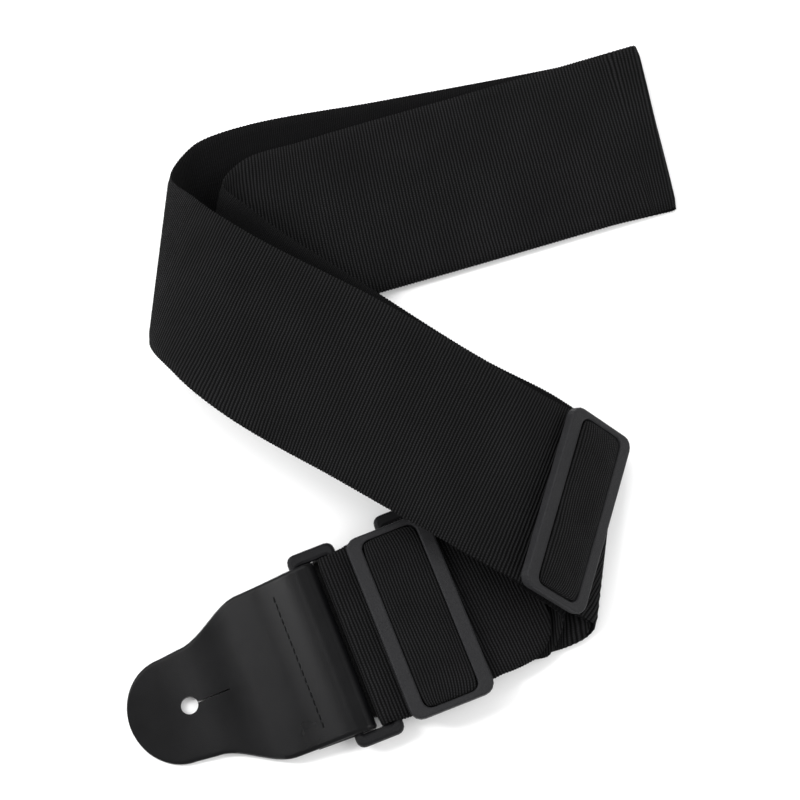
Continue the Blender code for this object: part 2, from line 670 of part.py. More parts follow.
def build_hardware(webbing, plastic, leather, thread):
    """Tri-glides, rings and leather ends; each moving piece hangs from an empty on its joint."""
    glide_a_place = lower_matrix(GLIDE_A_ALONG, GLIDE_A_ACROSS, GLIDE_A_HEIGHT)
    glide_a = add_joint_empty("tri_glide_a_slide", glide_a_place)
    tri_glide("tri_glide_a", glide_a, plastic)
    hump("webbing_hump_a", glide_a, webbing)
    glide_b = add_joint_empty("tri_glide_b_slide", glide_b_matrix())
    tri_glide("tri_glide_b", glide_b, plastic)
    hump("webbing_hump_b", glide_b, webbing)
    ends = (
        ("a", 0.0, 0.0, RING_A_HEIGHT, LEATHER_A_SHORT, LEATHER_A_LONG),
        ("b", RING_B_ALONG, RING_B_ACROSS, RING_B_HEIGHT, LEATHER_B_SHORT, LEATHER_B_LONG),
    )
    for letter, along, across, height, short, long in ends:
        bar_place = lower_matrix(along + RING_TURN, across, height)
        pivot = add_joint_empty("ring_" + letter + "_pivot", bar_place)
        ring("ring_" + letter, pivot, plastic)
        leather_end("leather_end_" + letter, along - RING_TURN, across, height, short, long, leather)
    fold_a = -RING_TURN + FOLD_RADIUS + FOLD_SLACK
    fold_b = RING_B_ALONG + fold_a
    top_a = RING_A_HEIGHT + height_at(LEATHER_A_LONG, STITCH_FROM_FOLD) + LEATHER_THICK / 2 + 0.75
    low_a = RING_A_HEIGHT - FOLD_RADIUS - LEATHER_THICK / 2 - GAP
    top_b = RING_B_HEIGHT + LEATHER_B_SHORT[0][1] + LEATHER_THICK / 2 + GAP + 0.2
    low_b = GROOVE_DEPTH - 0.35
    stitching("stitching_a", fold_a - STITCH_FROM_FOLD, 0, top_a, low_a, thread)
    stitching("stitching_b", fold_b - STITCH_FROM_FOLD, RING_B_ACROSS, top_b, low_b, thread)


def main():
    clear_scene()
    webbing = material("webbing", (0.008, 0.008, 0.009), 0.85)
    plastic = material("moulded_plastic", (0.018, 0.018, 0.02), 0.45)
    leather = material("leather", (0.01, 0.01, 0.011), 0.4)
    thread = material("thread", (0.012, 0.012, 0.013), 0.6)
    build_long_layers(webbing)
    build_lower_turns(webbing)
    build_hardware(webbing, plastic, leather, thread)


main()
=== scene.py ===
"""Looks of the guitar strap: ribbed webbing, moulded tri-glides and rings, and leather ends.

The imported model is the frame. The webbing is rebuilt as one continuous strip along the same edge points,
with woven ribs in its mesh; the leather ends, their stitching and the bunched webbing over the tri-glides'
centre bars are rebuilt finer. Lengths are millimetres in the named values and metres in the meshes.
"""
import json
import math

import bmesh
import bpy
import numpy as np
from mathutils import Matrix, Vector


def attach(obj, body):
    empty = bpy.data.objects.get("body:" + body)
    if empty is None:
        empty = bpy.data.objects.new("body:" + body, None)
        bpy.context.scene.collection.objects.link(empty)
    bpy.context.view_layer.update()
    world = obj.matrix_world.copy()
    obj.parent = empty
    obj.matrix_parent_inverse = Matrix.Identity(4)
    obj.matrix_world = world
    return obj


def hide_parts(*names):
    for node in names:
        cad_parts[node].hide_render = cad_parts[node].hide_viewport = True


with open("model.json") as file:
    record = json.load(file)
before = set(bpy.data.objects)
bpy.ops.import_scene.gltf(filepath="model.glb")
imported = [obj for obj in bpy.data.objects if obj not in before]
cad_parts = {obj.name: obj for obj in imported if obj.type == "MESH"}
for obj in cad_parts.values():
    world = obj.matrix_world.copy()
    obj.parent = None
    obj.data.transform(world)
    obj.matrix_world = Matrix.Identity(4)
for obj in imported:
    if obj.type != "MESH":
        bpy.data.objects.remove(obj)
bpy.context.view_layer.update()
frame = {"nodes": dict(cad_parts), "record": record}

MM = 0.001

# Webbing: its size, its ribs, and how finely it is meshed
WEB_WIDTH = 76.2
WEB_THICK = 1.5
WEB_EDGE = 1.2
WEB_COLUMNS = 18
RIB_PITCH = 1.37
RIB_HEIGHT = 0.10
BACK_RIB_HEIGHT = 0.03
SELVEDGE_SCALLOP = 0.14
ROWS_PER_RIB = 4
RIB_SQUARENESS = 0.72
SLANT_SMOOTHING = 12
TURN_FRONT_LENGTH = 16

# Leather ends, by distance from the fold
LEATHER_THICK = 2.2
LEATHER_EDGE = 0.8
LEATHER_COLUMNS = 30
LEATHER_LENGTH = 92.2
LEATHER_FOLD_HALF_WIDTH = 36.4
LEATHER_HALF_WIDTH = 35.4
LEATHER_NECK_HALF_WIDTH = 23.3
LEATHER_TIP_HALF_WIDTH = 22.3
LEATHER_TIP_LENGTH = 20.2
LEATHER_TAPER = (33.0, 63.0)
LEATHER_LEAN = 0.02
LEATHER_STRAIGHT_AT = 30.0
HOLE_RADIUS = 3.6
HOLE_FROM_FOLD = 66.6
SLIT_END_FROM_FOLD = 49.0
SLIT_WIDTH = 0.45
SLIT_OFFSET = 0.07
CUT_DEPTH = 50
STITCH_FROM_FOLD = 19.2
STITCH_HALF_ROW = 29.0
STITCH_COUNT = 19
STITCH_HALF_THICK = 0.36
STITCH_HALF_LENGTH = 0.42
STITCH_RISE = 0.30
STITCH_SLANT = 0.12

# Plastic parts, as (long way, short way) and bar widths
RING_SHORT_WAY = 20.5
RING_BAR = 3.6
GLIDE_SIZE = (79.0, 36.0)
GLIDE_THICK = 4.5
GLIDE_BAR = 6.2
GLIDE_END_BAR = 3.0
CENTRE_BAR_THICK = 2.4
CENTRE_BAR_LOW = 0.05

# The webbing bunched over a tri-glide's centre bar
PILLOW_GAP = 0.2
PILLOW_LIFT = 0.3
PILLOW_SIDE = 1.1
PILLOW_CORNER = 1.1
PILLOW_ROWS = 150
PILLOW_COLUMNS = 84

# Where things lie on the surface, before the origin is moved under the middle of the part
PLAN_CENTRE = (3.615, 2.445)
LOWER_HEADING = math.radians(21.6)
RING_A_PLACE = (-22.3, -104.5)
RING_A_HEIGHT = 8.3
RING_B_ALONG = 39.3
RING_B_ACROSS = 3.2
RING_B_HEIGHT = 4.4
RING_TURN = (RING_SHORT_WAY - RING_BAR) / 2
GLIDE_A_ALONG = 32.0
GLIDE_A_ACROSS = -1.4
GLIDE_A_HEIGHT = 15.0
GLIDE_B_CENTRE = (71.6, -52.4, 25.4)
GLIDE_B_LONG = (0.282, 0.953, -0.115)
GLIDE_B_SHORT = (0.683, -0.283, -0.673)
WRAP_RADIUS = 3.0
WRAP_A_SLACK = 3.4
WRAP_HALF_WIDTH = 36.3
WRAP_SQUEEZE_LENGTH = 14.0
WRAP_LEAD = 0.2
FOLD_RADIUS = 3.3
FOLD_SLACK = 4.0
LAYER_STEP = 2.05
TAIL_END = 82.0
TAIL_CORNER = 15.0
END_FOLD_HEADING = math.radians(14)
END_FOLD_BULGE = 1.6

# Heights of the leather over its ring's bar, as (distance from the fold, height)
LEATHER_A_LONG = [(3.3, 3.3), (9.0, 3.3), (14.5, 1.8), (20.0, 0.0), (25.0, -0.7), (45.0, -4.4),
                  (55.0, -4.6), (70.0, -6.5), (82.0, -7.15), (94.0, -7.15)]
LEATHER_A_SHORT = [(24.0, -3.3), (9.0, -3.3)]
LEATHER_B_LONG = [(3.3, -3.3), (94.0, -3.3)]
LEATHER_B_SHORT = [(24.0, -0.8), (18.5, -0.8), (14.5, 1.6), (9.0, 3.3)]
# Each leather end: its ring's place along the lower run and across it, bar height, short ply, long ply
LEATHER_ENDS = {
    "a": (0.0, 0.0, RING_A_HEIGHT, LEATHER_A_SHORT, LEATHER_A_LONG),
    "b": (RING_B_ALONG, RING_B_ACROSS, RING_B_HEIGHT, LEATHER_B_SHORT, LEATHER_B_LONG),
}

# Edge points (upper edge, lower edge) of the inner layer, from the end fold to the lower run
INNER_LAYER = [
    ((101.0, 157.3, 3.0), (116.3, 83.8, 3.0)),
    ((30.0, 135.4, 3.0), (40.0, 60.5, 3.2)),
    ((-42.8, 113.0, 3.4), (-48.0, 33.8, 4.0)),
    ((-65.8, 104.6, 6.0), (-78.8, 23.6, 6.0)),
    ((-75.0, 90.8, 13.5), (-88.5, 8.0, 13.5)),
    ((-63.0, 77.6, 21.0), (-73.5, -7.5, 21.0)),
    ((-12.3, 42.6, 21.0), (-28.0, -33.5, 21.5)),
    ((35.0, 12.0, 20.0), (16.3, -57.5, 21.5)),
    ((66.0, -4.5, 18.5), (52.0, -84.5, 16.5)),
    ((76.0, -12.5, 11.5), (66.5, -95.0, 9.0)),
    ((64.0, -25.5, 4.8), (60.0, -109.0, 4.7)),
]
# The same for the outer layer, from the back run to the bottom of the right bend
OUTER_LAYER = [
    ((100.5, 155.0, 0.75), (116.1, 83.0, 0.75)),
    ((51.9, 144.6, 0.75), (40.0, 64.6, 0.75)),
    ((-10.0, 132.4, 0.75), (-30.0, 51.0, 0.75)),
    ((-68.8, 120.8, 0.9), (-81.5, 40.8, 0.9)),
    ((-88.5, 110.5, 6.0), (-97.5, 33.0, 6.0)),
    ((-96.4, 92.0, 21.0), (-103.6, 20.0, 20.0)),
    ((-84.0, 76.0, 37.0), (-91.5, 2.5, 33.0)),
    ((-66.0, 62.0, 43.0), (-71.0, -15.5, 38.0)),
    ((-11.4, 33.7, 39.0), (-25.0, -42.0, 36.0)),
    ((30.0, 11.3, 32.0), (12.0, -62.5, 31.0)),
    ((64.0, -8.0, 27.5), (43.0, -79.5, 29.0)),
    ((79.5, -13.8, 16.3), (60.0, -87.2, 23.3)),
    ((87.2, -17.5, 8.2), (72.3, -92.4, 11.6)),
    ((89.8, -20.2, 4.2), (79.8, -96.5, 5.4)),
    ((86.0, -22.8, 1.1), (76.0, -100.8, 1.4)),
    ((77.0, -25.0, 0.85), (66.0, -105.3, 0.85)),
]
# Where the return layer under the outer layer starts and ends, counted in points of the outer layer
RETURN_SPAN = (9.3, 15.3)
# How far across the middle of the tail lies; it drifts beyond tri-glide A, as the layers below it do
TAIL_DRIFT = [(20, 0), (40, 1.4), (50, 2.6), (60, 3.6), (76, 4.6), (90, 5.4)]

# The camera and the studio
CAMERA_DISTANCE = 1.1
CAMERA_RAISED = math.radians(76.0)
CAMERA_VIEW = math.radians(17.35)
CAMERA_CLIP = 0.05
FLOOR_HALF = 3
FLOOR_LEVEL = -0.0004
WORLD_STRENGTH = 0.85
# Each light as (name, place, size, power), aimed at the origin
LIGHTS = [
    ("key", (-0.6, 0.75, 1.2), (1.1, 1.1), 10.0),
    ("fill", (0.9, -0.2, 1.1), (0.8, 0.8), 8.0),
    ("side strip", (-0.95, 0.05, 0.95), (0.2, 0.7), 12.0),
]


def plan(point):
    """A point in millimetres, moved so that the origin lies under the middle, in metres."""
    x, y, z = point
    return Vector(((x - PLAN_CENTRE[0]) * MM, (y - PLAN_CENTRE[1]) * MM, z * MM))


def slopes_of(rails, steps):
    """Slopes for smooth curves through the rails' points that never overshoot."""
    secants = np.diff(rails, axis=0) / steps[:, None, None]
    before, after = secants[:-1], secants[1:]
    same_way = before * after > 0
    total = np.where(same_way, before + after, 1.0)
    inner = np.where(same_way, 2 * before * after / total, 0.0)
    return np.concatenate([secants[:1], inner, secants[-1:]])


def smooth_rails(pairs, start, end, count):
    """Sample two rails together, from one index to another."""
    rails = np.array(pairs, float)
    steps = np.linalg.norm(np.diff(rails.mean(axis=1), axis=0), axis=1)
    knots = np.concatenate([[0.0], np.cumsum(steps)])
    slopes = slopes_of(rails, steps)
    places = np.interp(np.linspace(start, end, count), range(len(knots)), knots)
    index = np.clip(np.searchsorted(knots, places) - 1, 0, len(knots) - 2)
    span = steps[index]
    u = ((places - knots[index]) / span)[:, None, None]
    span = span[:, None, None]
    return ((1 + 2 * u) * (1 - u) ** 2 * rails[index] + u * (1 - u) ** 2 * span * slopes[index]
            + u * u * (3 - 2 * u) * rails[index + 1] + u * u * (u - 1) * span * slopes[index + 1])


def lower_point(along, across, height):
    """A point in the lower run's own directions: along it to the right, across it and up."""
    x = RING_A_PLACE[0] + along * math.cos(LOWER_HEADING) - across * math.sin(LOWER_HEADING)
    y = RING_A_PLACE[1] + along * math.sin(LOWER_HEADING) + across * math.cos(LOWER_HEADING)
    return (x, y, height)


def squeezed_half_width(distance):
    """Half the webbing's width at a distance from its ring's bar; the ring's ends squeeze it."""
    share = min(1.0, abs(distance) / WRAP_SQUEEZE_LENGTH)
    return WRAP_HALF_WIDTH + (WEB_WIDTH / 2 - WRAP_HALF_WIDTH) * share


def lower_rails(places, bar):
    """Rails of a lower layer that goes round a bar.

    Each place is (along on the upper edge, along on the lower edge, height, across at the middle).
    """
    rails = []
    for upper, lower, height, centre in places:
        half = squeezed_half_width(min(upper, lower) - bar)
        rails.append((lower_point(upper, centre + half, height), lower_point(lower, centre - half, height)))
    return rails


def lower_matrix(along, across, height):
    """The place and turn of a piece in the lower run: X along the run, Y across it, Z up."""
    place = Matrix.Translation(plan(lower_point(along, across, height)))
    return place @ Matrix.Rotation(LOWER_HEADING, 4, 'Z')


def glide_b_matrix():
    """The place and turn of tri-glide B, which tilts over the right bend."""
    long_way = Vector(GLIDE_B_LONG).normalized()
    short_way = (Vector(GLIDE_B_SHORT) - long_way * long_way.dot(Vector(GLIDE_B_SHORT))).normalized()
    turn = Matrix((short_way, long_way, short_way.cross(long_way))).transposed().to_4x4()
    return Matrix.Translation(plan(GLIDE_B_CENTRE)) @ turn


def turn_rails(bar, centre, height, slack):
    """The webbing's half turn round a ring's bar, from under it to over it."""
    rails = []
    for angle in np.radians(np.linspace(-90, 90, 25)):
        along = bar - slack - WRAP_RADIUS * math.cos(angle)
        rise = height + WRAP_RADIUS * math.sin(angle)
        rails.append((lower_point(along, centre + WRAP_HALF_WIDTH, rise),
                      lower_point(along, centre - WRAP_HALF_WIDTH, rise)))
    return np.array(rails)


def value_at(line, place):
    """The value of a line of (place, value) points at a place."""
    ordered = sorted(line)
    return float(np.interp(place, [p for p, _ in ordered], [h for _, h in ordered]))


def inner_path():
    """The inner layer from the end fold to under ring A's bar."""
    under = RING_A_HEIGHT - WRAP_RADIUS
    bar = RING_TURN
    places = [(76, 68, 5.6, 4.6), (60, 58, 8.4, 3.6), (50, 50, 9.75, 2.6), (40, 40, 9.85, 1.4),
              (20, 20, 9.85, 0), (15, 15, 8.3, 0), (10.5, 10.5, under + 0.1, 0),
              (bar + WRAP_LEAD, bar + WRAP_LEAD, under, 0)]
    return INNER_LAYER + lower_rails(places, bar)


def outer_path():
    """The outer layer from the end fold to under ring B's bar."""
    bar = RING_B_ALONG + RING_TURN
    places = [(92, 76, 0.85, 5.4), (70, 64, 0.85, 4.2), (58, 58, 0.9, 3.6),
              (bar + WRAP_LEAD, bar + WRAP_LEAD, RING_B_HEIGHT - WRAP_RADIUS, RING_B_ACROSS)]
    return OUTER_LAYER + lower_rails(places, bar)


def end_fold_rails():
    """The half turn that joins the outer layer to the inner one at the end of the strap."""
    top = np.array(INNER_LAYER[0], float)
    low = np.array(OUTER_LAYER[0], float)
    outward = np.array([math.cos(END_FOLD_HEADING), math.sin(END_FOLD_HEADING), 0.0])
    return np.array([(top + low) / 2 + (low - top) / 2 * math.cos(math.pi * t)
                     + outward * END_FOLD_BULGE * math.sin(math.pi * t)
                     for t in np.linspace(0, 1, 11)[1:-1]])


def offset_rails(rails, lift):
    """The same strip, lifted along its own normal."""
    along = np.gradient(rails, axis=0)
    sideways = (rails[:, 1] - rails[:, 0])[:, None, :]
    normal = np.cross(np.broadcast_to(sideways, rails.shape), along)
    return rails + normal / np.linalg.norm(normal, axis=2, keepdims=True) * lift


def tail_half_width(place):
    """Half the tail's width at a place along it; the corners at its end are round."""
    start = TAIL_END - TAIL_CORNER
    if place <= start:
        return WEB_WIDTH / 2
    return WEB_WIDTH / 2 - TAIL_CORNER + math.sqrt(max(0.0, TAIL_CORNER ** 2 - (place - start) ** 2))


def tail_a_rails():
    """The tail that comes back from ring A over tri-glide A."""
    start = RING_TURN + WRAP_LEAD
    heights = [(start, RING_A_HEIGHT + WRAP_RADIUS), (14, 11.7), (50, 11.7), (62, 10.3), (76, 8.2),
               (TAIL_END, 7.9)]
    places = list(np.linspace(start + 0.5, TAIL_END - 0.1, 60))
    rails = []
    for place in places:
        half = min(tail_half_width(place), squeezed_half_width(place - RING_TURN))
        height = np.mean([value_at(heights, place + shift) for shift in (-3, -1.5, 0, 1.5, 3)])
        centre = np.mean([value_at(TAIL_DRIFT, place + shift) for shift in (-6, -3, 0, 3, 6)])
        rails.append((lower_point(place, centre + half, height), lower_point(place, centre - half, height)))
    return np.array(rails)


def whole_strip():
    """Edge pairs along the whole webbing, from the hidden tail B to the visible tail A."""
    outer = outer_path()
    inner = inner_path()
    last = len(outer) - 1
    start, end = RETURN_SPAN
    bar_b = RING_B_ALONG + RING_TURN
    end_b = bar_b + WRAP_LEAD
    joined = smooth_rails(outer, end, end + 0.1, 2)[0] + (0, 0, LAYER_STEP)
    come_back = lower_rails([(end_b, end_b, RING_B_HEIGHT + WRAP_RADIUS, RING_B_ACROSS),
                             (54, 54, 6.6, 3.4), (62, 58, 4.6, 3.8), (76, 66, 3.0, 4.6)], bar_b) + [joined]
    parts = [
        offset_rails(smooth_rails(outer, start, end, 120), -LAYER_STEP),
        smooth_rails(come_back, 0, len(come_back) - 1, 40)[::-1][1:],
        turn_rails(bar_b, RING_B_ACROSS, RING_B_HEIGHT, 0)[::-1],
        smooth_rails(outer, 0, last, 700)[::-1][1:],
        end_fold_rails(),
        smooth_rails(inner, 0, len(inner) - 1, 700),
        turn_rails(RING_TURN, 0, RING_A_HEIGHT, WRAP_A_SLACK),
        tail_a_rails(),
    ]
    return np.concatenate(parts), sum(len(part) for part in parts[:-1])


def even_rows(rails, tail_start, step):
    """Resample the edge pairs at an even step along the strip's middle."""
    lengths = np.linalg.norm(np.diff(rails.mean(axis=1), axis=0), axis=1)
    places = np.concatenate([[0.0], np.cumsum(lengths)])
    count = int(places[-1] / step)
    wanted = np.linspace(0, places[-1], count)
    rows = np.stack([[np.interp(wanted, places, rails[:, side, axis]) for axis in range(3)]
                     for side in range(2)]).transpose(2, 0, 1)
    return rows, wanted, places[tail_start]


def strip_grid(rows, across):
    """Middle points and normals of a strip, as grids of rows by places across."""
    share = np.linspace(0.0, 1.0, across + 1)[None, :, None]
    grid = rows[:, None, 0] * (1 - share) + rows[:, None, 1] * share
    smooth = grid.copy()
    for _ in range(6):
        smooth[1:-1] = (smooth[:-2] + 2 * smooth[1:-1] + smooth[2:]) / 4
    along = np.gradient(smooth, axis=0)
    sideways = np.gradient(smooth, axis=1)
    normal = np.cross(sideways, along)
    return smooth, normal / np.linalg.norm(normal, axis=2, keepdims=True)


def rib_slant(rows, step):
    """How far the ribs lean along the strap from its upper to its lower edge, so they cross it squarely."""
    along = np.gradient(rows.mean(axis=1), axis=0)
    along /= np.linalg.norm(along, axis=1, keepdims=True)
    slant = ((rows[:, 1] - rows[:, 0]) * along).sum(axis=1) * RIB_SQUARENESS
    reach = int(SLANT_SMOOTHING / step)
    padded = np.pad(slant, reach, mode="edge")
    return np.convolve(padded, np.ones(2 * reach + 1) / (2 * reach + 1), mode="valid")


def slide_along(grid, wanted, place, slant):
    """Move every point along the strap, within its own column, so that the rows follow the ribs."""
    shifted = np.clip(wanted[:, None] - place[None, :] * slant[:, None], 0, wanted[-1])
    moved = np.empty_like(grid)
    for column in range(grid.shape[1]):
        for axis in range(3):
            moved[:, column, axis] = np.interp(shifted[:, column], wanted, grid[:, column, axis])
    return moved


def half_thickness(thickness, from_edge, edge, least):
    """Half a sheet's thickness, rounded over within a distance of its long edges."""
    return thickness / 2 * np.sqrt(np.clip(1 - (1 - from_edge / edge).clip(0) ** 2, least, 1))


def tube_mesh(name, ring):
    """A closed mesh from rows of points, each row a closed loop round the piece, with capped ends."""
    count, size = ring.shape[:2]
    points = ring.reshape(-1, 3) - (PLAN_CENTRE[0], PLAN_CENTRE[1], 0)
    first = (np.arange(count - 1)[:, None] * size + np.arange(size)[None, :]).ravel()
    after = (np.arange(count - 1)[:, None] * size + (np.arange(size) + 1)[None, :] % size).ravel()
    faces = np.stack([first, first + size, after + size, after], axis=1).tolist()
    faces += [list(range(size)), list(range((count - 1) * size, count * size))[::-1]]
    mesh = bpy.data.meshes.new(name)
    mesh.from_pydata((points * MM).tolist(), [], faces)
    return mesh


def mesh_from(made, name):
    """A mesh from a bmesh, which is freed."""
    mesh = bpy.data.meshes.new(name)
    made.to_mesh(mesh)
    made.free()
    return mesh


def write_strap_uv(mesh, along, across):
    """A UV map in millimetres of the strap's own length and width, from each vertex's place on it."""
    corner = np.zeros(len(mesh.loops), np.int32)
    mesh.loops.foreach_get("vertex_index", corner)
    places = np.stack([along[corner], across[corner]], axis=1)
    mesh.uv_layers.new(name="strap").data.foreach_set("uv", places.ravel().astype(np.float32))


def webbing_mesh(name, rows, wanted):
    """The whole strip as one closed mesh, and which of its faces lie on the back.

    It has woven ribs on the front, a plainer back and a scalloped selvedge.
    """
    grid, normal = strip_grid(rows, WEB_COLUMNS)
    place = np.linspace(-0.5, 0.5, WEB_COLUMNS + 1)
    slant = rib_slant(rows, wanted[1] - wanted[0])
    grid = slide_along(grid, wanted, place, slant)
    normal = slide_along(normal, wanted, place, slant)
    width = np.linalg.norm(rows[:, 1] - rows[:, 0], axis=1)
    from_edge = (0.5 - np.abs(place))[None, :] * width[:, None]
    half = half_thickness(WEB_THICK, from_edge, WEB_EDGE, 0.06)
    rib = np.cos(2 * math.pi * wanted / RIB_PITCH)[:, None]
    swell = np.clip(from_edge / 2.0, 0.35, 1.0)
    outward = (rows[:, 0] - rows[:, 1]) / width[:, None]
    scallop = SELVEDGE_SCALLOP * (1 + rib)
    grid[:, 0] += outward * scallop
    grid[:, -1] -= outward * scallop
    front = grid - normal * (half + RIB_HEIGHT * rib * swell)[:, :, None]
    back = grid + normal * (half + BACK_RIB_HEIGHT * rib)[:, :, None]
    ring = np.concatenate([front, back[:, ::-1]], axis=1)
    mesh = tube_mesh(name, ring)
    count, size = ring.shape[:2]
    columns = np.concatenate([place, place[::-1]])
    write_strap_uv(mesh, np.repeat(wanted, size), (columns[None, :] * width[:, None]).ravel())
    face = np.arange(size)
    back_side = np.tile((face > WEB_COLUMNS) & (face < size - 1), count - 1)
    return mesh, back_side


def add_piece(name, mesh, *looks):
    """A named object with smooth shading and its materials."""
    item = bpy.data.objects.new(name, mesh)
    bpy.context.scene.collection.objects.link(item)
    for look in looks:
        mesh.materials.append(look)
    mesh.shade_smooth()
    return item


class Nodes:
    """A short way to write a material's node graph."""

    def __init__(self, name):
        self.material = bpy.data.materials.new(name)
        self.material.use_nodes = True
        self.tree = self.material.node_tree
        self.shader = self.tree.nodes["Principled BSDF"]

    def add(self, kind, **settings):
        node = self.tree.nodes.new(kind)
        for key, value in settings.items():
            setattr(node, key, value)
        return node

    def link(self, source, target):
        self.tree.links.new(source, target)

    def math(self, operation, first, second=None):
        """One Math node; each input is a number or another node's output."""
        node = self.add("ShaderNodeMath", operation=operation)
        for socket, value in zip(node.inputs, (first, second)):
            if value is None:
                continue
            if isinstance(value, (int, float)):
                socket.default_value = value
            else:
                self.link(value, socket)
        return node.outputs[0]

    def noise(self, vector, scale, detail=2.0, roughness=0.5):
        node = self.add("ShaderNodeTexNoise")
        node.inputs["Scale"].default_value = scale
        node.inputs["Detail"].default_value = detail
        node.inputs["Roughness"].default_value = roughness
        self.link(vector, node.inputs["Vector"])
        return node.outputs["Fac"]

    def place(self):
        """The point's place in the piece's own space, in metres."""
        return self.add("ShaderNodeTexCoord").outputs["Object"]

    def ramp(self, value, low, high, dark, light):
        """Map a value between low and high to one between dark and light."""
        node = self.add("ShaderNodeMapRange")
        self.link(value, node.inputs["Value"])
        for socket, number in zip(("From Min", "From Max", "To Min", "To Max"), (low, high, dark, light)):
            node.inputs[socket].default_value = number
        return node.outputs["Result"]

    def colour(self, value, dark, light):
        """Base colour between dark and light by a value from 0 to 1."""
        node = self.add("ShaderNodeMix", data_type='RGBA')
        node.inputs["A"].default_value = (*dark, 1.0)
        node.inputs["B"].default_value = (*light, 1.0)
        self.link(value, node.inputs["Factor"])
        self.link(node.outputs["Result"], self.shader.inputs["Base Color"])

    def bump(self, height, strength, distance):
        node = self.add("ShaderNodeBump")
        node.inputs["Strength"].default_value = strength
        node.inputs["Distance"].default_value = distance
        self.link(height, node.inputs["Height"])
        self.link(node.outputs["Normal"], self.shader.inputs["Normal"])

    def wave(self, turns):
        """A cosine wave from 0 to 1 with one crest in each turn."""
        cosine = self.math('COSINE', self.math('MULTIPLY', turns, 2 * math.pi))
        halved = self.math('MULTIPLY_ADD', cosine, 0.5)
        halved.node.inputs[2].default_value = 0.5
        return halved

    def set(self, **values):
        """Set plain shader values, and give the finished material."""
        for key, value in values.items():
            self.shader.inputs[key.replace("_", " ")].default_value = value
        return self.material


def woven(name, pitch, warp_pitch, rib_share, dark, light):
    """Woven webbing: ribs across the strap, each broken by the warp yarns that pass over it in turn."""
    n = Nodes(name)
    uv = n.add("ShaderNodeUVMap", uv_map="strap").outputs["UV"]
    split = n.add("ShaderNodeSeparateXYZ")
    n.link(uv, split.inputs[0])
    wobble = n.math('MULTIPLY', n.math('SUBTRACT', n.noise(n.place(), 260.0), 0.5), 0.5)
    turns = n.math('DIVIDE', n.math('ADD', split.outputs["X"], wobble), pitch)
    rib = n.wave(turns)
    shift = n.math('MULTIPLY', n.math('FLOOR', n.math('ADD', turns, 0.5)), 0.5)
    yarn = n.wave(n.math('ADD', n.math('DIVIDE', split.outputs["Y"], warp_pitch), shift))
    ribbed = n.math('MULTIPLY', rib, rib_share)
    crossed = n.math('MULTIPLY', n.math('MULTIPLY', rib, yarn), 1 - rib_share)
    fibre = n.math('MULTIPLY', n.noise(n.place(), 5200.0, 3.0, 0.6), 0.35)
    height = n.math('ADD', n.math('ADD', ribbed, crossed), fibre)
    patch = n.noise(n.place(), 45.0, 3.0)
    # The base colour follows the weave's height: painted light on the raised ribs and yarns, painted shade
    # in the hollows between them; the patch noise is random tone.
    painted_weave_shading = n.math('MULTIPLY', n.ramp(height, 0.15, 1.2, 0.0, 1.0), n.ramp(patch, 0.3, 0.7, 0.75, 1.0))
    n.colour(painted_weave_shading, dark, light)
    n.link(n.ramp(height, 0.1, 1.2, 0.95, 0.72), n.shader.inputs["Roughness"])
    n.bump(height, 0.9, 0.0005)
    return n.set(Specular_IOR_Level=0.07, Sheen_Weight=0.01, Sheen_Roughness=0.45)


def moulded_plastic(name, dark, light):
    """Black moulded nylon with a fine spark-eroded grain."""
    n = Nodes(name)
    grain = n.noise(n.place(), 2600.0, 3.0, 0.6)
    broad = n.noise(n.place(), 160.0, 3.0)
    speckle = n.ramp(grain, 0.35, 0.65, 0.0, 1.0)
    n.colour(n.math('MULTIPLY', speckle, n.ramp(broad, 0.3, 0.7, 0.7, 1.0)), dark, light)
    n.link(n.ramp(broad, 0.3, 0.7, 0.38, 0.5), n.shader.inputs["Roughness"])
    n.bump(grain, 0.6, 0.0003)
    return n.set(Specular_IOR_Level=0.10)


def leather_look(name, dark, light):
    """Smooth black leather: fine pores, a faint pull in the surface and a satin finish."""
    n = Nodes(name)
    pores = n.add("ShaderNodeTexVoronoi", feature='DISTANCE_TO_EDGE')
    pores.inputs["Scale"].default_value = 1500.0
    n.link(n.place(), pores.inputs["Vector"])
    cells = n.math('MULTIPLY', n.ramp(pores.outputs["Distance"], 0.0, 0.25, 0.0, 1.0), 0.35)
    fine = n.math('MULTIPLY', n.noise(n.place(), 3200.0, 3.0, 0.6), 0.4)
    broad = n.noise(n.place(), 55.0, 4.0, 0.6)
    n.colour(n.ramp(broad, 0.3, 0.7, 0.0, 1.0), dark, light)
    n.link(n.ramp(broad, 0.3, 0.7, 0.27, 0.34), n.shader.inputs["Roughness"])
    n.bump(n.math('ADD', n.math('ADD', cells, fine), n.math('MULTIPLY', broad, 1.2)), 0.12, 0.0004)
    return n.set(Specular_IOR_Level=0.11)


def thread_look():
    """Twisted black thread."""
    n = Nodes("thread_fine")
    wave = n.add("ShaderNodeTexWave", bands_direction='DIAGONAL')
    wave.inputs["Scale"].default_value = 900.0
    n.link(n.place(), wave.inputs["Vector"])
    n.colour(wave.outputs["Fac"], (0.0005, 0.0005, 0.0005), (0.002, 0.002, 0.0022))
    n.bump(wave.outputs["Fac"], 0.5, 0.0002)
    return n.set(Roughness=0.6, Specular_IOR_Level=0.1)


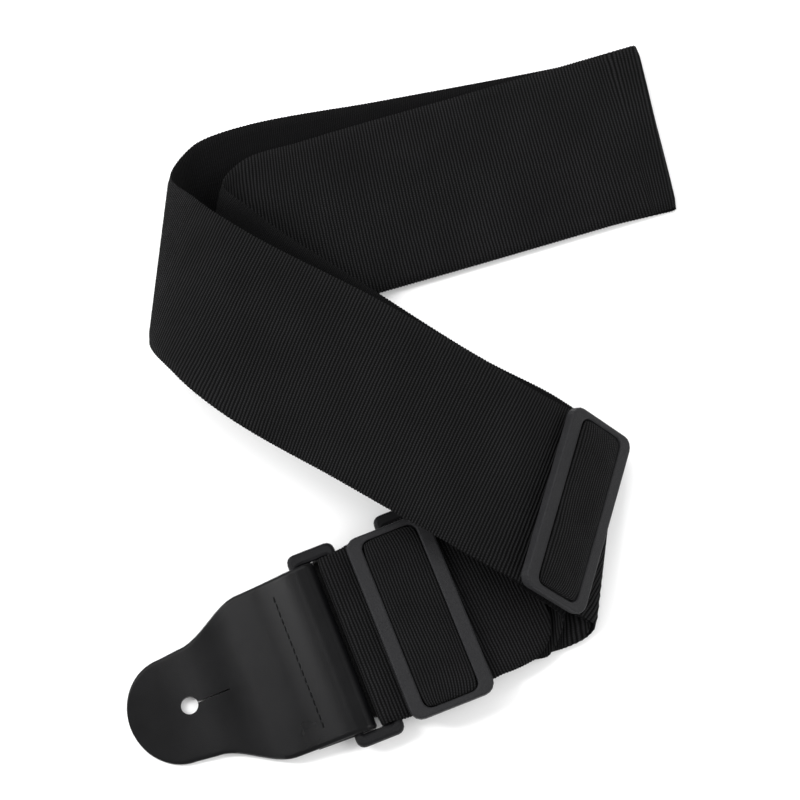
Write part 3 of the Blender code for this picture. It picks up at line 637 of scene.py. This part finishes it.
def make_webbing(front, back):
    """The whole webbing, with the back look up to the turn round ring A and the front look on the tail; the
    back look's darker colour is painted shade for the insides of the loops.
    """
    rails, tail_start = whole_strip()
    rows, wanted, tail_place = even_rows(rails, tail_start, RIB_PITCH / ROWS_PER_RIB)
    mesh, back_side = webbing_mesh("webbing", rows, wanted)
    strap = add_piece("webbing", mesh, front, back)
    row_place = np.repeat(wanted[:-1], len(back_side) // (len(wanted) - 1))
    slots = np.zeros(len(mesh.polygons), np.int32)
    slots[:len(back_side)] = back_side & (row_place < tail_place - TURN_FRONT_LENGTH)
    mesh.polygons.foreach_set("material_index", slots)
    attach(strap, "webbing")
    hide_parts(*frame["record"]["behaviour"]["bodies"]["webbing"])


def pillow_height(u, v):
    """The crown of the bunched webbing over a tri-glide's centre bar, from -1 to 1 each way."""
    crown = 2.7 * (1 - abs(u) ** 3) ** 0.6 * (1 - abs(v) ** 12) ** 0.5
    pucker = 0.45 * math.sin(5.5 * v + 0.8) * (u - 0.2) + 0.28 * math.sin(11 * v + 2 * u) * abs(v)
    return crown + pucker * (1 - u ** 4) * (1 - abs(v) ** 8)


def pillow_half_size():
    """Half the pillow's length and half its width, inside the tri-glide's outer bars."""
    return GLIDE_SIZE[0] / 2 - GLIDE_END_BAR - PILLOW_GAP, GLIDE_SIZE[1] / 2 - GLIDE_BAR - PILLOW_GAP


def pillow_mesh(name):
    """The webbing bunched over a centre bar: a ribbed crown on a straight skirt with a flat bottom."""
    half_long, half_short = pillow_half_size()
    base = -GLIDE_THICK / 2 + CENTRE_BAR_LOW + CENTRE_BAR_THICK + PILLOW_LIFT
    rows, columns = PILLOW_ROWS, PILLOW_COLUMNS
    made = bmesh.new()
    uv = made.loops.layers.uv.new("strap")
    top, places = [], {}
    for i in range(rows):
        v = -1 + 2 * i / (rows - 1)
        for j in range(columns):
            u = -1 + 2 * j / (columns - 1)
            x = u * (half_short - PILLOW_CORNER * abs(v) ** 16)
            y = v * (half_long - PILLOW_CORNER * abs(u) ** 6)
            wander = 0.45 * math.sin(4.2 * v + 0.6) * (1 - u * u) + 1.6 * (1 - u * u) * v ** 6
            across_ribs = u * half_short * 1.12 + wander
            rib = RIB_HEIGHT * 0.9 * math.cos(2 * math.pi * across_ribs / RIB_PITCH)
            vert = made.verts.new((x * MM, y * MM, (base + PILLOW_SIDE + pillow_height(u, v) + rib) * MM))
            top.append(vert)
            places[vert] = (across_ribs, v * half_long)
    for i in range(rows - 1):
        for j in range(columns - 1):
            a = i * columns + j
            made.faces.new((top[a], top[a + 1], top[a + columns + 1], top[a + columns]))
    rim = [edge for edge in made.edges if edge.is_boundary]
    skirt = bmesh.ops.extrude_edge_only(made, edges=rim)
    low = [item for item in skirt["geom"] if isinstance(item, bmesh.types.BMVert)]
    for vert in low:
        source = next(edge.other_vert(vert) for edge in vert.link_edges if edge.other_vert(vert) in places)
        places[vert] = places[source]
        vert.co.z = base * MM
    bmesh.ops.holes_fill(made, edges=[edge for edge in made.edges if edge.is_boundary])
    bmesh.ops.recalc_face_normals(made, faces=made.faces)
    for face in made.faces:
        for loop in face.loops:
            loop[uv].uv = places[loop.vert]
    return mesh_from(made, name)


def make_pillow(name, matrix, body, node, look):
    """One tri-glide's pillow; its flat length is its width between the outer bars and a tenth more."""
    mesh = pillow_mesh(name)
    mesh.transform(matrix)
    item = add_piece(name, mesh, look)
    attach(item, body)
    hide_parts(node)


def leather_half_width(place):
    """Half the width of a leather end at a distance from its fold."""
    start, end = LEATHER_TAPER
    tip_start = LEATHER_LENGTH - LEATHER_TIP_LENGTH
    if place <= start:
        return LEATHER_FOLD_HALF_WIDTH + (LEATHER_HALF_WIDTH - LEATHER_FOLD_HALF_WIDTH) * place / start
    if place <= end:
        u = (place - start) / (end - start)
        return LEATHER_HALF_WIDTH + (LEATHER_NECK_HALF_WIDTH - LEATHER_HALF_WIDTH) * u * u * (3 - 2 * u)
    if place <= tip_start:
        u = (place - end) / (tip_start - end)
        return LEATHER_NECK_HALF_WIDTH + (LEATHER_TIP_HALF_WIDTH - LEATHER_NECK_HALF_WIDTH) * u
    u = (place - tip_start) / LEATHER_TIP_LENGTH
    return LEATHER_TIP_HALF_WIDTH * math.sqrt(max(0.0, 1 - u * u))


def leather_centre(place):
    """How far across the middle of a leather end lies at a distance from its fold."""
    return LEATHER_LEAN * max(0.0, place - LEATHER_STRAIGHT_AT)


def leather_height(line, place):
    """The leather's height over the ring's bar, with the corners of its height line rounded."""
    spread = min(5.0, max(0.0, abs(place) - FOLD_RADIUS))
    return float(np.mean([value_at(line, place + spread * s) for s in np.linspace(-1, 1, 9)]))


def long_ply_side(long):
    """1 where the long ply leaves the fold on top of the bar, and -1 where it leaves below it."""
    return 1 if long[0][1] > 0 else -1


def leather_stations(short, long):
    """(distance from the fold, height, half width) from the short ply's end to the tip."""
    side = long_ply_side(long)
    stations = [(place, leather_height(short, place), leather_half_width(place))
                for place in np.linspace(short[0][0], FOLD_RADIUS + 0.4, 32)]
    for angle in np.radians(np.linspace(-90, 90, 21)):
        place = FOLD_RADIUS * (1 - math.cos(angle))
        stations.append((place, side * FOLD_RADIUS * math.sin(angle), leather_half_width(place)))
    tip_start = LEATHER_LENGTH - LEATHER_TIP_LENGTH
    places = list(np.linspace(FOLD_RADIUS + 0.4, tip_start, 110))
    places += [tip_start + LEATHER_TIP_LENGTH * math.sin(math.radians(a)) for a in np.linspace(3, 89, 40)]
    stations += [(place, leather_height(long, place), leather_half_width(place)) for place in places]
    return stations


def leather_mesh(name, rows):
    """A closed sheet between two rails whose long edges are rounded over, with columns closer there."""
    share = np.linspace(0.0, 1.0, LEATHER_COLUMNS + 1)
    share = 0.5 - 0.5 * np.cos(math.pi * share) * (0.35 + 0.65 * np.abs(2 * share - 1) ** 0.3)
    share = (share - share[0]) / (share[-1] - share[0])
    grid = rows[:, None, 0] * (1 - share)[None, :, None] + rows[:, None, 1] * share[None, :, None]
    normal = np.cross(np.gradient(grid, axis=1), np.gradient(grid, axis=0))
    normal /= np.linalg.norm(normal, axis=2, keepdims=True)
    width = np.linalg.norm(rows[:, 1] - rows[:, 0], axis=1)
    from_edge = (0.5 - np.abs(share - 0.5))[None, :] * width[:, None]
    half = half_thickness(LEATHER_THICK, from_edge, LEATHER_EDGE, 0.08)[:, :, None]
    ring = np.concatenate([grid - normal * half, (grid + normal * half)[:, ::-1]], axis=1)
    mesh = tube_mesh(name, ring)
    made = bmesh.new()
    made.from_mesh(mesh)
    bmesh.ops.recalc_face_normals(made, faces=made.faces)
    made.to_mesh(mesh)
    made.free()
    return mesh


def cut(target, mesh, matrix):
    """Cut one closed mesh out of a piece, and apply it."""
    tool = bpy.data.objects.new("tool", mesh)
    bpy.context.scene.collection.objects.link(tool)
    tool.matrix_world = matrix
    modifier = target.modifiers.new("cut", 'BOOLEAN')
    modifier.operation = 'DIFFERENCE'
    modifier.solver = 'MANIFOLD'
    modifier.object = tool
    bpy.context.view_layer.update()
    graph = bpy.context.evaluated_depsgraph_get()
    result = bpy.data.meshes.new_from_object(target.evaluated_get(graph))
    target.modifiers.clear()
    target.data = result
    bpy.data.objects.remove(tool, do_unlink=True)


def hole_tool():
    """A cylinder for the button hole, with its axis on the hole's middle."""
    made = bmesh.new()
    bmesh.ops.create_cone(made, cap_ends=True, segments=72, radius1=HOLE_RADIUS * MM,
                          radius2=HOLE_RADIUS * MM, depth=CUT_DEPTH * MM)
    return mesh_from(made, "hole")


def slit_tool():
    """A thin blade for the slit, from 1 mm beside the hole's middle to the slit's end."""
    length = HOLE_FROM_FOLD - SLIT_END_FROM_FOLD
    made = bmesh.new()
    bmesh.ops.create_cube(made, size=1.0)
    for vert in made.verts:
        x, y, z = vert.co
        vert.co = Vector(((x + 0.5) * (length - 1) + 1, (y + SLIT_OFFSET) * SLIT_WIDTH, z * CUT_DEPTH)) * MM
    return mesh_from(made, "slit")


def fold_place(letter):
    """How far along the lower run the fold of a leather end lies."""
    return LEATHER_ENDS[letter][0] - RING_TURN + FOLD_RADIUS + FOLD_SLACK


def make_leather(letter, body, look):
    """A leather end folded round its ring's bar, with its button hole and slit."""
    fold_at = fold_place(letter)
    across, bar_height, short, long = LEATHER_ENDS[letter][1:]
    rows = []
    for place, height, half in leather_stations(short, long):
        middle = across + leather_centre(place)
        rows.append((lower_point(fold_at - place, middle + half, bar_height + height),
                     lower_point(fold_at - place, middle - half, bar_height + height)))
    name = "leather_" + letter
    item = add_piece(name, leather_mesh(name, np.array(rows)), look)
    hole_place = lower_matrix(fold_at - HOLE_FROM_FOLD, across + leather_centre(HOLE_FROM_FOLD), 0)
    cut(item, hole_tool(), hole_place)
    cut(item, slit_tool(), hole_place)
    item.data.shade_smooth()
    item.data.set_sharp_from_angle(angle=math.radians(50))
    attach(item, body)
    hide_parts("leather_end_" + letter)


def stitch_mesh(name, bar_height, short, long):
    """Short slanted stitches on both plies, each a rounded bead pulled a little into the leather."""
    made = bmesh.new()
    pitch = 2 * STITCH_HALF_ROW / (STITCH_COUNT - 1)
    outward = long_ply_side(long)
    for line, side in ((long, outward), (short, -outward)):
        before = leather_height(line, STITCH_FROM_FOLD - 1)
        after = leather_height(line, STITCH_FROM_FOLD + 1)
        slope = (before - after) / 2
        height = bar_height + leather_height(line, STITCH_FROM_FOLD)
        surface = height + side * (LEATHER_THICK / 2 + 0.02)
        for index in range(STITCH_COUNT - 1):
            middle = -STITCH_HALF_ROW + pitch * (index + 0.5)
            verts = bmesh.ops.create_uvsphere(made, u_segments=12, v_segments=8, radius=1.0)["verts"]
            for vert in verts:
                x, y, z = vert.co
                along = x * STITCH_HALF_THICK
                rise = surface + z * STITCH_RISE + along * slope
                across = middle + y * pitch * STITCH_HALF_LENGTH
                vert.co = Vector((along + y * STITCH_SLANT, across, rise)) * MM
    return mesh_from(made, name)


def make_stitches(letter, body, look):
    """The two rows of stitches of a leather end."""
    across, bar_height, short, long = LEATHER_ENDS[letter][1:]
    name = "stitches_" + letter
    mesh = stitch_mesh(name, bar_height, short, long)
    mesh.transform(lower_matrix(fold_place(letter) - STITCH_FROM_FOLD, across, 0))
    item = add_piece(name, mesh, look)
    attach(item, body)
    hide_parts("stitching_" + letter)


def dress_frame_nodes(names, look):
    """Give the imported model's own pieces a material."""
    for name in names:
        for slot in frame["nodes"][name].material_slots:
            slot.material = look


def add_floor():
    """A plain pale floor just under the strap."""
    signs = ((-1, -1), (1, -1), (1, 1), (-1, 1))
    corners = [(x * FLOOR_HALF, y * FLOOR_HALF, FLOOR_LEVEL) for x, y in signs]
    mesh = bpy.data.meshes.new("floor")
    mesh.from_pydata(corners, [], [(0, 1, 2, 3)])
    n = Nodes("floor")
    n.set(Base_Color=(0.93, 0.93, 0.93, 1.0), Roughness=0.9, Specular_IOR_Level=0.1)
    floor = bpy.data.objects.new("floor", mesh)
    bpy.context.scene.collection.objects.link(floor)
    mesh.materials.append(n.material)


def add_light(name, place, size, power):
    """A soft rectangular light, aimed at the origin."""
    lamp = bpy.data.lights.new(name, 'AREA')
    lamp.shape = 'RECTANGLE'
    lamp.size, lamp.size_y = size
    lamp.energy = power
    item = bpy.data.objects.new(name, lamp)
    bpy.context.scene.collection.objects.link(item)
    item.location = place
    item.rotation_euler = (Vector((0, 0, 0)) - Vector(place)).to_track_quat('-Z', 'Y').to_euler()


def add_studio():
    """A white surround and the soft lights."""
    world = bpy.data.worlds.new("studio")
    world.use_nodes = True
    world.node_tree.nodes["Background"].inputs["Color"].default_value = (1.0, 1.0, 1.0, 1.0)
    world.node_tree.nodes["Background"].inputs["Strength"].default_value = WORLD_STRENGTH
    bpy.context.scene.world = world
    for name, place, size, power in LIGHTS:
        add_light(name, place, size, power)
    bpy.context.scene.view_settings.view_transform = 'Standard'


def add_camera():
    """A camera on the strap's near side that looks steeply down on it."""
    lens = bpy.data.cameras.new("camera")
    lens.angle = CAMERA_VIEW
    lens.clip_start = CAMERA_CLIP
    camera = bpy.data.objects.new("camera", lens)
    bpy.context.scene.collection.objects.link(camera)
    away = Vector((0, -math.cos(CAMERA_RAISED), math.sin(CAMERA_RAISED)))
    camera.location = plan((0, 0, 0)) + away * CAMERA_DISTANCE
    camera.rotation_euler = (math.pi / 2 - CAMERA_RAISED, 0, 0)
    bpy.context.scene.camera = camera


def make_pieces():
    """Every visible piece, with its material."""
    # The front's dark end is painted shade in the weave's hollows and its light end painted light on the
    # raised ribs.
    front = woven("webbing_front", RIB_PITCH, 1.0, 0.45, (0.0002, 0.0002, 0.0002),
                  (0.019, 0.019, 0.020))
    # The back's finer ribs are its own weave; its darker colours are painted shade for the insides of the
    # loops.
    back = woven("webbing_back_painted_shade", RIB_PITCH * 0.6, 0.8, 0.4, (0.0010, 0.0010, 0.0011),
                 (0.0055, 0.0055, 0.006))
    glide_plastic = moulded_plastic("glide_plastic", (0.009, 0.009, 0.0098), (0.022, 0.022, 0.0235))
    ring_plastic = moulded_plastic("ring_plastic", (0.004, 0.004, 0.0045), (0.008, 0.008, 0.009))
    leather = leather_look("leather_fine", (0.0022, 0.0022, 0.0025), (0.0036, 0.0036, 0.0040))
    thread = thread_look()
    make_webbing(front, back)
    glide_a = lower_matrix(GLIDE_A_ALONG, GLIDE_A_ACROSS, GLIDE_A_HEIGHT)
    make_pillow("bunched_webbing_a", glide_a, "tri_glide_a", "webbing_hump_a", front)
    make_pillow("bunched_webbing_b", glide_b_matrix(), "tri_glide_b", "webbing_hump_b", front)
    for letter, body in (("a", "leather_end_a"), ("b", "ring_b")):
        make_leather(letter, body, leather)
        make_stitches(letter, body, thread)
    dress_frame_nodes(("tri_glide_a", "tri_glide_b"), glide_plastic)
    dress_frame_nodes(("ring_a", "ring_b"), ring_plastic)


def main():
    """The pieces, then the floor, the light and the camera."""
    make_pieces()
    add_floor()
    add_studio()
    add_camera()


main()
